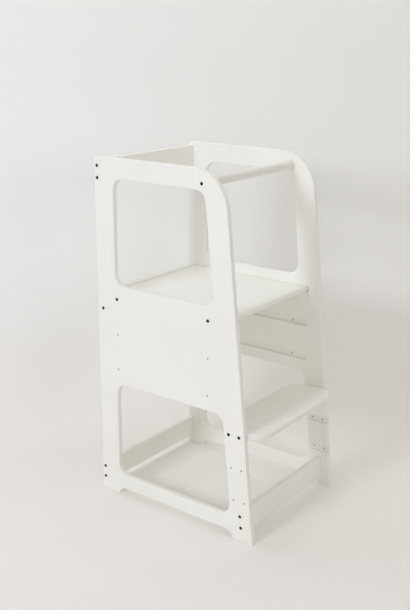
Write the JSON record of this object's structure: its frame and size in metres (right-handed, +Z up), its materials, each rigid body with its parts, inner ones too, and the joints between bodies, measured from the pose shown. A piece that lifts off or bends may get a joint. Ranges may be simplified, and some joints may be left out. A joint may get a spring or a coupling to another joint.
{
  "type": "toddler kitchen helper stool",
  "caption": "Free-standing toddler helper tower: cut-out side panels, cross rails, round handrail, and a platform and step that can be refitted lower.",
  "frame": {"origin": "on the floor, in the middle of the overall width and depth", "axes": "+Z up, +X across the stool, -Y towards the step side that the child climbs in from"},
  "size_m": [0.39, 0.4966, 0.9],
  "materials": {
    "painted_board": "smooth satin white paint over birch plywood",
    "screws": "black oxide, satin"
  },
  "bodies": {
    "root": {"front_bottom_rail": "painted_board", "front_bottom_rail_screws_left": "screws", "front_bottom_rail_screws_right": "screws", "handrail": "painted_board", "handrail_screw_left": "screws", "handrail_screw_right": "screws", "left_side_panel": "painted_board", "platform": "painted_board", "platform_screws_left": "screws", "platform_screws_right": "screws", "rear_bottom_rail": "painted_board", "rear_bottom_rail_screws_left": "screws", "rear_bottom_rail_screws_right": "screws", "rear_middle_rail": "painted_board", "rear_middle_rail_screw_left": "screws", "rear_middle_rail_screw_right": "screws", "rear_top_rail": "painted_board", "rear_top_rail_screws_left": "screws", "rear_top_rail_screws_right": "screws", "right_side_panel": "painted_board", "step": "painted_board", "step_screws_left": "screws", "step_screws_right": "screws"}
  },
  "joints": []
}
